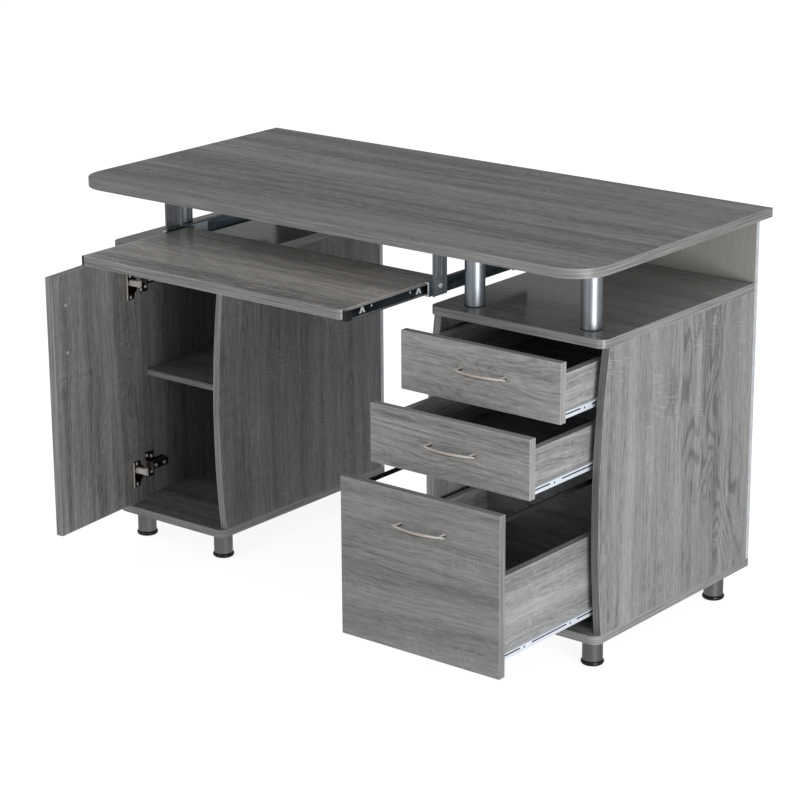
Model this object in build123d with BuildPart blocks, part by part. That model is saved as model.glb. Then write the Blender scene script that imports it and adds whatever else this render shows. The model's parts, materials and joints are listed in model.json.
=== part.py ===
"""Writing desk: a desktop on two pedestals, three drawers, a hinged door and a keyboard tray.

Millimetres. +X is the sitter's right, -Y the front, +Z up. The origin is on the floor, under
the middle of the desktop. The moving pieces are drawn as the desk stands in use: the door
open, the drawers pulled out by different amounts and the keyboard tray pulled out.
"""
import os
from math import cos, radians, sin

from build123d import *

os.makedirs("parts", exist_ok=True)

# ---------------------------------------------------------------- driving dimensions
DESK_WIDTH = 1220
DESK_DEPTH = 603
DESK_HEIGHT = 762
DESK_THICK = 18
DESK_CORNER = 70          # plan radius of the desktop's two front corners
DESK_UNDER = DESK_HEIGHT - DESK_THICK

EASE = 0.8                # eased edge of every board
BOARD = 16                # pedestal boards, drawer fronts and door
BACK_BOARD = 10
SIDE_OVERHANG = 16        # desktop past the pedestals, at each end
PEDESTAL_REAR = 284
PEDESTAL_CORNER = 18
TOP_FRONT = -220.5
BOTTOM_FRONT = -228.5
BOTTOM_Z = (55, 71)
TOP_Z = (605, 621)
SIDE_REAR = PEDESTAL_REAR - BACK_BOARD
SIDE_BOW = ((-202, TOP_Z[0]), (-228, 290), (-214.5, BOTTOM_Z[1]))   # (y, z) of the bowed edge
OUTER_X = DESK_WIDTH / 2 - SIDE_OVERHANG
LEFT_X = (-OUTER_X, -307)
RIGHT_X = (208, OUTER_X)
CLOSED_FACE = -200        # front face of the door and the drawers when shut
DOOR_SIDE_FRONT = -170    # the door shuts over this side's straight front edge
LEFT_FACE = LEFT_X[0] + BOARD
RIGHT_FACE = LEFT_X[1] - BOARD

POST_RADIUS = 19
POST_WALL = 1.5
POST_CAP = 4
POST_SPOTS = ((-446, -167), (273.5, -167), (530, -167))
STUD_RADIUS = 3
STUD_BITE = 12

FOOT_RADIUS = 19
FOOT_INSET = 38
FOOT_FRONT = -185
FOOT_REAR = 222
GLIDE_RADIUS = 21.5
GLIDE_HEIGHT = 9
GLIDE_ROUND = 3

SHELF_THICK = 12
SHELF_TOP = 340
SHELF_FRONT = -150
SHELF_GAP = 1
PIN_RADIUS = 2.5
PIN_BITE = 8
PIN_INSET = 60
CAP_RADIUS = 6
CAP_THICK = 1.2
CAP_Y = (37, 180)
CAP_Z = (180, 356)

FRONT_X = (RIGHT_X[0] + BOARD + 2, RIGHT_X[1] - BOARD - 2)
RAIL_GAP = 13             # drawer box to pedestal side, filled by the rails
SIDE_BOARD = 15
BOX_X = (RIGHT_X[0] + BOARD + RAIL_GAP, RIGHT_X[1] - BOARD - RAIL_GAP)
BOX_LENGTH = 392
BOX_BACK = 12
BOX_BOTTOM = 4
GROOVE_DEPTH = 5
GROOVE_SLACK = 0.2
BOTTOM_RISE = 10          # drawer bottom above the rail's underside
SHEET = 1.2               # sheet steel of the rails
RAIL_HEIGHT = 16
RAIL_LENGTH = 395
FLANGE_OUT = 7.6
CHANNEL_Z = (-6.2, 22)
CHANNEL_LENGTH = 400
CHANNEL_FRONT = -180
ROLLER_RADIUS = 8.3
ROLLER_U = (2.0, 7.2)
AXLE_RADIUS = 2
RUNNING_FIT = 0.05
CONTACT_GAP = 0.3
ROLLER_SETBACK = 11

# number: front bottom, front height, rail underside, side height, back height, pulled out
DRAWERS = {
    1: (491.5, 110, 493.5, 80, 80, 123),
    2: (377.5, 110, 379.5, 80, 80, 211),
    3: (76, 297.5, 101, 152, 257, 295.5),
}
HANDLE_DROP = (48, 51.5, 60.5)   # handle below the top of each drawer front
HANDLE_SHIFT = 7.5        # handles right of the middle of their fronts
HANDLE_HALF = 58          # half the bow's length
HANDLE_HOLES = 48         # screw holes either side of the middle
HANDLE_OUT = 26.5         # bow's middle from the face
HANDLE_END_OUT = 12       # bow's tips from the face
HANDLE_END = 1.5
HANDLE_MID = 3.2          # bow's thickness at its middle
HANDLE_RISE = 3.3         # half the bow's height at its middle
HANDLE_EASE = 0.5
HANDLE_FOOT = 3.5
HANDLE_BITE = 8
HANDLE_SCREW = 3.2
HANDLE_SCREW_HEIGHT = 1.8

FILE_RAIL = (3, 8)        # width and height of the hanging-file rails
FILE_RAIL_Z = 348
CLIP = 9

DOOR_PIVOT = (-575.4, -206.3)
DOOR_OPEN = 84            # degrees
DOOR_U = (-18.6, 249.4)   # across the door, from its pivot
DOOR_V = (6.3, 22.3)      # through the door, from its pivot
DOOR_Z = (76, 602)
HINGE_Z = (137, 531)
CUP_U = 3.9
CUP_RADIUS = 17.5
CUP_HOLLOW = 15.5
CUP_DEPTH = 11.5
CUP_FLOOR = 1.2
FLANGE_U = (-2, 22)
FLANGE_HEIGHT = 54
FLANGE_THICK = 0.8
FLANGE_CORNER = 5
LINK_U = (4, 12)
LINK_OUT = 46.8           # link's tip, from the pivot
LINK_RISE = 8             # link's middle above the cup's
LINK_HALF = 5.5
LINK_FLARE = (43, 6.5)    # where the link's tip widens, and its half height there
PLATE_THICK = 2.5
ARM_DEPTH = 14.5
ARM_Y = (-157, -112)      # clear of the link's tip as it swings
ARM_HALF = 8
ARM_EASE = 2
PLATE_HALF = 10
WING_Y = (-167, -140)
WING_RISE = (10, 27)
WING_SCREWS = ((-161, 21), (-148, 17))   # (y, height from the hinge's middle)
ARM_SCREW_Y = (-149, -124)
ARM_SCREW = 3.4
ARM_SCREW_HEIGHT = 1.4
DOOR_HANDLE_Z = 492
DOOR_HANDLE_INSET = 38

TRAY_X = (-407, 221)
TRAY_Y = (-483, -193)
TRAY_Z = (653, 671)
TRAY_CORNERS = (4, 12)     # plan radii of the tray's front left and front right corners
TRAY_RAIL_LENGTH = 300
TRAY_OUT = 225            # how far the tray is pulled out here, which is its limit
TRAY_RAIL_Z = (647, 674)
TRAY_RAIL_WIDTH = 12.7
INNER_RAIL_Z = (650.5, 669.5)
INNER_RAIL_DEPTH = 8
OUTER_RAIL_DEPTH = 8.7
TRAY_RAIL_FRONT = TRAY_Y[0] + 7
CAGE_Y = (-249, -129)
CAGE_WEB = 0.6
CAGE_PITCH = 12
CAGE_REACH = 3
BALL_RADIUS = 0.9
BUMPER_LENGTH = 12
BRACKET_SHEET = 2
BRACKET_WIDTH = 38
BRACKET_Y = (-241, 0)
BRACKET_BOTTOM = 645
BRACKET_LIP = 4
BRACKET_FLANGE = 24
BRACKET_SCREW_Z = 663.5

SCREW_RADIUS = 2
SCREW_HEAD = 4.5
SCREW_HEAD_HEIGHT = 2.4


# ---------------------------------------------------------------- helpers
def mid(pair):
    return (pair[0] + pair[1]) / 2


def span(pair):
    return pair[1] - pair[0]


def save(piece, label):
    """Label a finished part and write its STEP file."""
    piece.part.label = label
    export_step(piece.part, f"parts/{label}.step")


def slab(x, y, z, mode=Mode.ADD):
    """A block spanning three (low, high) pairs, inside the part being built."""
    with Locations((mid(x), mid(y), mid(z))):
        Box(span(x), span(y), span(z), mode=mode)


def board(label, x, y, z):
    """A plain board with eased edges."""
    with BuildPart() as piece:
        slab(x, y, z)
        fillet(piece.edges(), EASE)
    save(piece, label)


def plan_board(x, y, z, corner):
    """A board whose front corners are rounded in plan, inside the part being built."""
    with BuildSketch(Plane.XY.offset(z[0])) as plan:
        with Locations((mid(x), mid(y))):
            Rectangle(span(x), span(y))
        fillet(plan.vertices().group_by(Axis.Y)[0], corner)
    extrude(plan.sketch, amount=span(z))


def section_plane(x, y, z, outward):
    """A plane across Y at a point, its local x pointing outward (+1 right, -1 left), y up."""
    return Plane(origin=(x, y, z), x_dir=(outward, 0, 0), z_dir=(0, -outward, 0))


def extrude_back(outward, length):
    """Extrude a section_plane sketch towards +Y."""
    extrude(amount=-outward * length)


def strips(*rectangles):
    """Rectangles in the sketch being built, each as ((u low, high), (w low, high))."""
    for u, w in rectangles:
        with Locations((mid(u), mid(w))):
            Rectangle(span(u), span(w))


def rod(x, y, z, radius, height, mode=Mode.ADD):
    """An upright cylinder standing on a point, inside the part being built."""
    with Locations((x, y, z + height / 2)):
        Cylinder(radius, height, mode=mode)


def cross_rod(x, y, z, radius, mode=Mode.ADD):
    """A cylinder along X, spanning a (low, high) pair."""
    with Locations((mid(x), y, z)):
        Cylinder(radius, span(x), rotation=(0, 90, 0), mode=mode)


# ---------------------------------------------------------------- desktop and its fixings
BRACKET_FACE_X = (TRAY_X[0] - TRAY_RAIL_WIDTH, TRAY_X[1] + TRAY_RAIL_WIDTH)
BRACKET_SCREWS = [
    (face + outward * (BRACKET_FLANGE / 2 + BRACKET_SHEET), y + BRACKET_WIDTH / 2)
    for face, outward in zip(BRACKET_FACE_X, (-1, 1))
    for y in BRACKET_Y
]

with BuildPart() as desktop:
    plan_board(
        (-DESK_WIDTH / 2, DESK_WIDTH / 2),
        (-DESK_DEPTH / 2, DESK_DEPTH / 2),
        (DESK_UNDER, DESK_HEIGHT),
        DESK_CORNER,
    )
    fillet(desktop.edges().filter_by(Axis.Z, reverse=True), EASE)
    for stud_x, stud_y in POST_SPOTS:
        rod(stud_x, stud_y, DESK_UNDER, STUD_RADIUS, STUD_BITE, Mode.SUBTRACT)
    for screw_x, screw_y in BRACKET_SCREWS:
        rod(screw_x, screw_y, DESK_UNDER, SCREW_RADIUS, STUD_BITE, Mode.SUBTRACT)
save(desktop, "desktop")

with BuildPart() as support_posts:
    for post_x, post_y in POST_SPOTS:
        rod(post_x, post_y, TOP_Z[1], POST_RADIUS, DESK_UNDER - TOP_Z[1])
        rod(
            post_x, post_y, TOP_Z[1] + POST_CAP, POST_RADIUS - POST_WALL,
            DESK_UNDER - TOP_Z[1] - 2 * POST_CAP, Mode.SUBTRACT,
        )
        rod(post_x, post_y, TOP_Z[1], STUD_RADIUS, POST_CAP, Mode.SUBTRACT)
        rod(post_x, post_y, DESK_UNDER - POST_CAP, STUD_RADIUS, POST_CAP, Mode.SUBTRACT)
save(support_posts, "support_posts")

with BuildPart() as post_screws:
    for post_x, post_y in POST_SPOTS:
        rod(post_x, post_y, TOP_Z[0], STUD_RADIUS, BOARD + POST_CAP)
        rod(post_x, post_y, TOP_Z[0] - SCREW_HEAD_HEIGHT, 2 * STUD_RADIUS, SCREW_HEAD_HEIGHT)
        rod(post_x, post_y, DESK_UNDER - POST_CAP, STUD_RADIUS, POST_CAP + STUD_BITE)
save(post_screws, "post_screws")


# ---------------------------------------------------------------- pedestal carcasses
def top_panel(label, x):
    """A pedestal's top, drilled for the posts that stand on it."""
    with BuildPart() as piece:
        plan_board(x, (TOP_FRONT, SIDE_REAR), TOP_Z, PEDESTAL_CORNER)
        fillet(piece.edges().filter_by(Axis.Z, reverse=True), EASE)
        for post_x, post_y in POST_SPOTS:
            if x[0] < post_x < x[1]:
                rod(post_x, post_y, TOP_Z[0], STUD_RADIUS, BOARD, Mode.SUBTRACT)
    save(piece, label)


def bottom_panel(label, x):
    """A pedestal's bottom, which carries the sides and the back."""
    with BuildPart() as piece:
        plan_board(x, (BOTTOM_FRONT, PEDESTAL_REAR), BOTTOM_Z, PEDESTAL_CORNER)
        fillet(piece.edges().filter_by(Axis.Z, reverse=True), EASE)
    save(piece, label)


def bowed_side(label, x):
    """An upright side whose front edge is one long shallow arc."""
    with BuildPart() as piece:
        with BuildSketch(Plane.YZ.offset(x)):
            with BuildLine():
                ThreePointArc(*SIDE_BOW)
                Polyline(
                    SIDE_BOW[2], (SIDE_REAR, BOTTOM_Z[1]), (SIDE_REAR, TOP_Z[0]), SIDE_BOW[0]
                )
            make_face()
        extrude(amount=BOARD)
        fillet(piece.edges(), EASE)
    save(piece, label)


top_panel("left_top_panel", LEFT_X)
top_panel("right_top_panel", RIGHT_X)
bottom_panel("left_bottom_panel", LEFT_X)
bottom_panel("right_bottom_panel", RIGHT_X)
bowed_side("left_inner_side", LEFT_X[1] - BOARD)
bowed_side("right_inner_side", RIGHT_X[0])
bowed_side("right_outer_side", RIGHT_X[1] - BOARD)

SIDE_Z = (BOTTOM_Z[1], TOP_Z[0])
board("left_outer_side", (LEFT_X[0], LEFT_FACE), (DOOR_SIDE_FRONT, SIDE_REAR), SIDE_Z)
board("left_back_panel", LEFT_X, (SIDE_REAR, PEDESTAL_REAR), (BOTTOM_Z[1], DESK_UNDER))
board("right_back_panel", RIGHT_X, (SIDE_REAR, PEDESTAL_REAR), (BOTTOM_Z[1], DESK_UNDER))

SHELF_Z = (SHELF_TOP - SHELF_THICK, SHELF_TOP)
board(
    "left_shelf",
    (LEFT_FACE + SHELF_GAP, RIGHT_FACE - SHELF_GAP),
    (SHELF_FRONT, SIDE_REAR - SHELF_GAP),
    SHELF_Z,
)
with BuildPart() as shelf_pins:
    for pin_y in (SHELF_FRONT + PIN_INSET, SIDE_REAR - PIN_INSET):
        pin_z = SHELF_Z[0] - PIN_RADIUS
        cross_rod((LEFT_FACE, LEFT_FACE + PIN_BITE), pin_y, pin_z, PIN_RADIUS)
        cross_rod((RIGHT_FACE - PIN_BITE, RIGHT_FACE), pin_y, pin_z, PIN_RADIUS)
save(shelf_pins, "shelf_pins")

with BuildPart() as cover_caps:
    for cap_y in CAP_Y:
        for cap_z in CAP_Z:
            cross_rod((LEFT_FACE, LEFT_FACE + CAP_THICK), cap_y, cap_z, CAP_RADIUS)
save(cover_caps, "cover_caps")


# ---------------------------------------------------------------- feet
FEET = [
    (x, y)
    for x in (
        LEFT_X[0] + FOOT_INSET, LEFT_X[1] - FOOT_INSET,
        RIGHT_X[0] + FOOT_INSET, RIGHT_X[1] - FOOT_INSET,
    )
    for y in (FOOT_FRONT, FOOT_REAR)
]
TUBE_HEIGHT = BOTTOM_Z[0] - GLIDE_HEIGHT

with BuildPart() as foot_tubes:
    for foot_x, foot_y in FEET:
        rod(foot_x, foot_y, GLIDE_HEIGHT, FOOT_RADIUS, TUBE_HEIGHT)
        rod(
            foot_x, foot_y, GLIDE_HEIGHT, FOOT_RADIUS - POST_WALL,
            TUBE_HEIGHT - POST_CAP, Mode.SUBTRACT,
        )
save(foot_tubes, "foot_tubes")

with BuildPart() as foot_glides:
    for foot_x, foot_y in FEET:
        with BuildSketch(Plane(origin=(foot_x, foot_y, 0), z_dir=(0, -1, 0), x_dir=(1, 0, 0))):
            with BuildLine():
                stem = FOOT_RADIUS - POST_WALL
                rim = GLIDE_RADIUS - GLIDE_ROUND
                Polyline(
                    (rim, 0), (0, 0), (0, 2 * GLIDE_HEIGHT), (stem, 2 * GLIDE_HEIGHT),
                    (stem, GLIDE_HEIGHT), (rim, GLIDE_HEIGHT),
                )
                ThreePointArc(
                    (rim, GLIDE_HEIGHT), (GLIDE_RADIUS, GLIDE_HEIGHT / 2), (rim, 0)
                )
            make_face()
        revolve(axis=Axis((foot_x, foot_y, 0), (0, 0, 1)))
save(foot_glides, "foot_glides")


# ---------------------------------------------------------------- bow handles
def bow_handle(at):
    """A leaf-shaped bow handle on two feet; `at` has x along it and z away from the face."""
    side_view = Plane(origin=at.origin, x_dir=at.x_dir, z_dir=at.x_dir.cross(at.z_dir))
    inner = HANDLE_END_OUT - HANDLE_END
    with BuildPart() as piece:
        with BuildSketch(side_view):
            with BuildLine():
                ThreePointArc(
                    (-HANDLE_HALF, HANDLE_END_OUT), (0, HANDLE_OUT), (HANDLE_HALF, HANDLE_END_OUT)
                )
                Line((HANDLE_HALF, HANDLE_END_OUT), (HANDLE_HALF, inner))
                ThreePointArc(
                    (HANDLE_HALF, inner), (0, HANDLE_OUT - HANDLE_MID), (-HANDLE_HALF, inner)
                )
                Line((-HANDLE_HALF, inner), (-HANDLE_HALF, HANDLE_END_OUT))
            make_face()
        extrude(amount=HANDLE_RISE, both=True)
        with BuildSketch(at):
            with BuildLine():
                ThreePointArc(
                    (-HANDLE_HALF, -HANDLE_END), (0, -HANDLE_RISE), (HANDLE_HALF, -HANDLE_END)
                )
                Line((HANDLE_HALF, -HANDLE_END), (HANDLE_HALF, HANDLE_END))
                ThreePointArc(
                    (HANDLE_HALF, HANDLE_END), (0, HANDLE_RISE), (-HANDLE_HALF, HANDLE_END)
                )
                Line((-HANDLE_HALF, HANDLE_END), (-HANDLE_HALF, -HANDLE_END))
            make_face()
        extrude(amount=HANDLE_OUT, mode=Mode.INTERSECT)
        fillet(piece.edges(), HANDLE_EASE)
        with BuildSketch(at):
            with Locations((-HANDLE_HOLES, 0), (HANDLE_HOLES, 0)):
                Circle(HANDLE_FOOT)
        extrude(amount=HANDLE_END_OUT + HANDLE_END)
        with BuildSketch(at):
            with Locations((-HANDLE_HOLES, 0), (HANDLE_HOLES, 0)):
                Circle(SCREW_RADIUS)
        extrude(amount=HANDLE_BITE, mode=Mode.SUBTRACT)
    return piece


def drill_handle_holes(at, depth):
    """Two through holes behind a handle, inside the part being built."""
    with BuildSketch(at) as holes:
        with Locations((-HANDLE_HOLES, 0), (HANDLE_HOLES, 0)):
            Circle(SCREW_RADIUS)
    extrude(holes.sketch, amount=-depth, mode=Mode.SUBTRACT)


# ---------------------------------------------------------------- drawers
def drawer_rail_section():
    """Drawer member: a flange under the box side, a web and a flange that rides the roller."""
    strips(
        ((-FLANGE_OUT - SHEET, SHEET), (0, SHEET)),
        ((0, SHEET), (0, RAIL_HEIGHT)),
        ((0, FLANGE_OUT), (RAIL_HEIGHT - SHEET, RAIL_HEIGHT)),
    )


def channel_section():
    """Cabinet member: a channel screwed to the pedestal side, open towards the drawer."""
    strips(
        ((RAIL_GAP - SHEET, RAIL_GAP), CHANNEL_Z),
        ((ROLLER_U[0], RAIL_GAP), (CHANNEL_Z[0], CHANNEL_Z[0] + SHEET)),
        ((ROLLER_U[0] + 1, RAIL_GAP), (CHANNEL_Z[1] - SHEET, CHANNEL_Z[1])),
    )


FRONT_ROLLER_RISE = RAIL_HEIGHT - SHEET - CONTACT_GAP - ROLLER_RADIUS
REAR_ROLLER_RISE = CHANNEL_Z[0] + SHEET + CONTACT_GAP + ROLLER_RADIUS
FRONT_ROLLER_Y = CHANNEL_FRONT + ROLLER_SETBACK


def rollers(label, y, z):
    """The pair of nylon rollers that share one axis across the pedestal."""
    with BuildPart() as piece:
        for face, outward in zip(BOX_X, (-1, 1)):
            reach = sorted(face + outward * u for u in ROLLER_U)
            cross_rod(reach, y, z, ROLLER_RADIUS)
            cross_rod(reach, y, z, AXLE_RADIUS + RUNNING_FIT, Mode.SUBTRACT)
    save(piece, label)


def drawer(number):
    """One drawer: front, two sides, back, bottom, handle, rails and rollers."""
    front_z, front_height, rail_z, side_height, back_height, pulled = DRAWERS[number]
    name = f"drawer_{number}"
    face_y = CLOSED_FACE - pulled
    box_front = face_y + BOARD
    box_rear = box_front + BOX_LENGTH
    box_z = rail_z + SHEET
    inner_x = (BOX_X[0] + SIDE_BOARD, BOX_X[1] - SIDE_BOARD)
    bottom_z = (rail_z + BOTTOM_RISE, rail_z + BOTTOM_RISE + BOX_BOTTOM)
    groove_z = (bottom_z[0] - GROOVE_SLACK, bottom_z[1] + GROOVE_SLACK)
    groove_x = (inner_x[0] - GROOVE_DEPTH, inner_x[1] + GROOVE_DEPTH)
    handle_at = Plane(
        origin=(
            mid(FRONT_X) + HANDLE_SHIFT, face_y,
            front_z + front_height - HANDLE_DROP[number - 1],
        ),
        x_dir=(1, 0, 0),
        z_dir=(0, -1, 0),
    )

    with BuildPart() as front:
        slab(FRONT_X, (face_y, box_front), (front_z, front_z + front_height))
        fillet(front.edges(), EASE)
        slab(groove_x, (box_front - GROOVE_DEPTH, box_front), groove_z, Mode.SUBTRACT)
        drill_handle_holes(handle_at, BOARD)
    save(front, f"{name}_front")

    with BuildPart() as sides:
        for x in ((BOX_X[0], inner_x[0]), (inner_x[1], BOX_X[1])):
            slab(x, (box_front, box_rear), (box_z, box_z + side_height))
        fillet(sides.edges().filter_by(Axis.Y), EASE)
        slab(groove_x, (box_front, box_rear), groove_z, Mode.SUBTRACT)
    save(sides, f"{name}_sides")

    with BuildPart() as back:
        back_z = (bottom_z[1] + GROOVE_SLACK, box_z + back_height)
        slab(inner_x, (box_rear - BOX_BACK, box_rear), back_z)
        fillet(back.edges().filter_by(Axis.X), EASE)
    save(back, f"{name}_back")

    with BuildPart() as bottom:
        slab(
            (groove_x[0] + GROOVE_SLACK, groove_x[1] - GROOVE_SLACK),
            (box_front - GROOVE_DEPTH + GROOVE_SLACK, box_rear),
            bottom_z,
        )
    save(bottom, f"{name}_bottom")

    save(bow_handle(handle_at), f"{name}_handle")

    rear_roller_y = box_front + RAIL_LENGTH - ROLLER_SETBACK
    with BuildPart() as rails:
        for face, outward in zip(BOX_X, (-1, 1)):
            with BuildSketch(section_plane(face, box_front, rail_z, outward)):
                drawer_rail_section()
            extrude_back(outward, RAIL_LENGTH)
            axle = sorted((face + outward * SHEET, face + outward * (ROLLER_U[1] + SHEET)))
            cross_rod(axle, rear_roller_y, rail_z + REAR_ROLLER_RISE, AXLE_RADIUS)
    save(rails, f"{name}_rails")

    rollers(f"{name}_rear_rollers", rear_roller_y, rail_z + REAR_ROLLER_RISE)
    rollers(f"{name}_front_rollers", FRONT_ROLLER_Y, rail_z + FRONT_ROLLER_RISE)


for drawer_number in DRAWERS:
    drawer(drawer_number)

with BuildPart() as cabinet_rails:
    for drawer_row in DRAWERS.values():
        row_z = drawer_row[2]
        for box_face, rail_outward in zip(BOX_X, (-1, 1)):
            with BuildSketch(section_plane(box_face, CHANNEL_FRONT, row_z, rail_outward)):
                channel_section()
            extrude_back(rail_outward, CHANNEL_LENGTH)
            stub = sorted(box_face + rail_outward * u for u in (ROLLER_U[0], RAIL_GAP - SHEET))
            cross_rod(stub, FRONT_ROLLER_Y, row_z + FRONT_ROLLER_RISE, AXLE_RADIUS)
save(cabinet_rails, "cabinet_rails")

FILE_FRONT = CLOSED_FACE - DRAWERS[3][5] + BOARD
FILE_BACK = FILE_FRONT + BOX_LENGTH - BOX_BACK
FILE_RAILS_X = (BOX_X[0] + SIDE_BOARD / 2, BOX_X[1] - SIDE_BOARD / 2)
CLIP_Z = (FILE_RAIL_Z - 1, FILE_RAIL_Z + FILE_RAIL[1] + 1)

with BuildPart() as file_rails:
    for rail_x in FILE_RAILS_X:
        slab(
            (rail_x - FILE_RAIL[0] / 2, rail_x + FILE_RAIL[0] / 2),
            (FILE_FRONT, FILE_BACK),
            (FILE_RAIL_Z, FILE_RAIL_Z + FILE_RAIL[1]),
        )
save(file_rails, "file_rails")

with BuildPart() as file_rail_clips:
    for rail_x in FILE_RAILS_X:
        slab((rail_x - CLIP / 2, rail_x + CLIP / 2), (FILE_FRONT, FILE_FRONT + CLIP), CLIP_Z)
        toward_middle = BOX_BACK if rail_x < mid(BOX_X) else -BOX_BACK
        tab = sorted((rail_x - toward_middle / 3, rail_x + toward_middle))
        slab(tab, (FILE_BACK - CLIP, FILE_BACK), CLIP_Z)
    for rail_x in FILE_RAILS_X:
        slab(
            (rail_x - FILE_RAIL[0] / 2, rail_x + FILE_RAIL[0] / 2),
            (FILE_FRONT, FILE_BACK),
            (FILE_RAIL_Z, FILE_RAIL_Z + FILE_RAIL[1]),
            Mode.SUBTRACT,
        )
save(file_rail_clips, "file_rail_clips")


# ---------------------------------------------------------------- door and its hinges
# Door coordinates: u runs from the pivot towards the free edge, v from the outer face inwards.
DOOR_DIR = Vector(cos(radians(DOOR_OPEN)), -sin(radians(DOOR_OPEN)), 0)
DOOR_IN = Vector(-DOOR_DIR.Y, DOOR_DIR.X, 0)
DOOR_ORIGIN = Vector(*DOOR_PIVOT, 0)


def door_plan(z):
    """The door's plan plane at a height, with local x = u and y = v."""
    return Plane(origin=DOOR_ORIGIN + Vector(0, 0, z), x_dir=DOOR_DIR, z_dir=(0, 0, 1))


def door_face(u, z):
    """A plane on the door's inner face at (u, z), facing into the cabinet."""
    origin = DOOR_ORIGIN + DOOR_DIR * u + DOOR_IN * DOOR_V[1] + Vector(0, 0, z)
    return Plane(origin=origin, x_dir=(0, 0, 1), z_dir=DOOR_IN)


DOOR_HANDLE_U = DOOR_U[1] - DOOR_HANDLE_INSET
DOOR_HANDLE_AT = Plane(
    origin=DOOR_ORIGIN + DOOR_DIR * DOOR_HANDLE_U + DOOR_IN * DOOR_V[0] + Vector(0, 0, DOOR_HANDLE_Z),
    x_dir=(0, 0, 1),
    z_dir=-DOOR_IN,
)

with BuildPart() as door_panel:
    with BuildSketch(door_plan(DOOR_Z[0])):
        strips((DOOR_U, DOOR_V))
    extrude(amount=span(DOOR_Z))
    fillet(door_panel.edges(), EASE)
    for hinge_z in HINGE_Z:
        with BuildSketch(door_face(CUP_U, hinge_z)):
            Circle(CUP_RADIUS)
        extrude(amount=-CUP_DEPTH, mode=Mode.SUBTRACT)
    drill_handle_holes(DOOR_HANDLE_AT, BOARD)
save(door_panel, "door_panel")

save(bow_handle(DOOR_HANDLE_AT), "door_handle")

with BuildPart() as door_handle_screws:
    for screw_z in (DOOR_HANDLE_Z - HANDLE_HOLES, DOOR_HANDLE_Z + HANDLE_HOLES):
        with BuildSketch(door_face(DOOR_HANDLE_U, screw_z)):
            Circle(HANDLE_SCREW)
        extrude(amount=HANDLE_SCREW_HEIGHT)
        with BuildSketch(door_face(DOOR_HANDLE_U, screw_z)):
            Circle(SCREW_RADIUS)
        extrude(amount=-BOARD - HANDLE_BITE)
save(door_handle_screws, "door_handle_screws")

with BuildPart() as hinge_cups:
    for hinge_z in HINGE_Z:
        with BuildSketch(door_face(mid(FLANGE_U), hinge_z)):
            RectangleRounded(FLANGE_HEIGHT, span(FLANGE_U), FLANGE_CORNER)
        extrude(amount=FLANGE_THICK)
        with BuildSketch(door_face(CUP_U, hinge_z)):
            Circle(CUP_RADIUS)
        extrude(amount=-CUP_DEPTH)
        with BuildSketch(door_face(CUP_U, hinge_z).offset(FLANGE_THICK)):
            Circle(CUP_HOLLOW)
        extrude(amount=CUP_FLOOR - CUP_DEPTH - FLANGE_THICK, mode=Mode.SUBTRACT)
save(hinge_cups, "hinge_cups")

CUP_BED = DOOR_V[1] - CUP_DEPTH + CUP_FLOOR
with BuildPart() as hinge_links:
    for hinge_z in HINGE_Z:
        for link_start, half in ((CUP_BED, LINK_HALF), LINK_FLARE):
            with BuildSketch(door_plan(hinge_z + LINK_RISE - half)):
                strips((LINK_U, (link_start, LINK_OUT)))
            extrude(amount=2 * half)
save(hinge_links, "hinge_links")

PLATE_X = (LEFT_FACE, LEFT_FACE + PLATE_THICK)
ARM_X = (PLATE_X[1], PLATE_X[1] + ARM_DEPTH)

with BuildPart() as hinge_base_plates:
    for hinge_z in HINGE_Z:
        slab(PLATE_X, ARM_Y, (hinge_z - PLATE_HALF, hinge_z + PLATE_HALF))
        for side in (-1, 1):
            wing = sorted(hinge_z + side * rise for rise in WING_RISE)
            slab(PLATE_X, WING_Y, wing)
            for screw_y, rise in WING_SCREWS:
                head = (PLATE_X[1], PLATE_X[1] + ARM_SCREW_HEIGHT)
                cross_rod(head, screw_y, hinge_z + side * rise, ARM_SCREW)
save(hinge_base_plates, "hinge_base_plates")

with BuildPart() as hinge_arms:
    for hinge_z in HINGE_Z:
        slab(ARM_X, ARM_Y, (hinge_z - ARM_HALF, hinge_z + ARM_HALF))
    outer_edges = hinge_arms.faces().filter_by(Axis.X).group_by(Axis.X)[-1].edges()
    fillet(outer_edges.filter_by(Axis.Y), ARM_EASE)
save(hinge_arms, "hinge_arms")

with BuildPart() as hinge_screws:
    for hinge_z in HINGE_Z:
        for screw_y in ARM_SCREW_Y:
            cross_rod((ARM_X[1], ARM_X[1] + ARM_SCREW_HEIGHT), screw_y, hinge_z, ARM_SCREW)
save(hinge_screws, "hinge_screws")


# ---------------------------------------------------------------- keyboard tray and its slides
with BuildPart() as keyboard_tray:
    slab(TRAY_X, TRAY_Y, TRAY_Z)
    tray_front = keyboard_tray.edges().filter_by(Axis.Z).group_by(Axis.Y)[0].sort_by(Axis.X)
    for corner_edge, corner in zip(tray_front, TRAY_CORNERS):
        fillet(corner_edge, corner)
    fillet(keyboard_tray.edges().filter_by(Axis.Z, reverse=True), EASE)
save(keyboard_tray, "keyboard_tray")

OUTER_RAIL_FRONT = TRAY_RAIL_FRONT + TRAY_OUT
SLIDE_SIDES = list(zip(TRAY_X, (-1, 1)))

with BuildPart() as tray_inner_rails:
    for edge_x, outward in SLIDE_SIDES:
        with BuildSketch(section_plane(edge_x, TRAY_RAIL_FRONT, 0, outward)):
            strips(
                ((0, SHEET), INNER_RAIL_Z),
                ((0, INNER_RAIL_DEPTH), (INNER_RAIL_Z[0], INNER_RAIL_Z[0] + SHEET)),
                ((0, INNER_RAIL_DEPTH), (INNER_RAIL_Z[1] - SHEET, INNER_RAIL_Z[1])),
            )
        extrude_back(outward, TRAY_RAIL_LENGTH)
save(tray_inner_rails, "tray_inner_rails")

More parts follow.
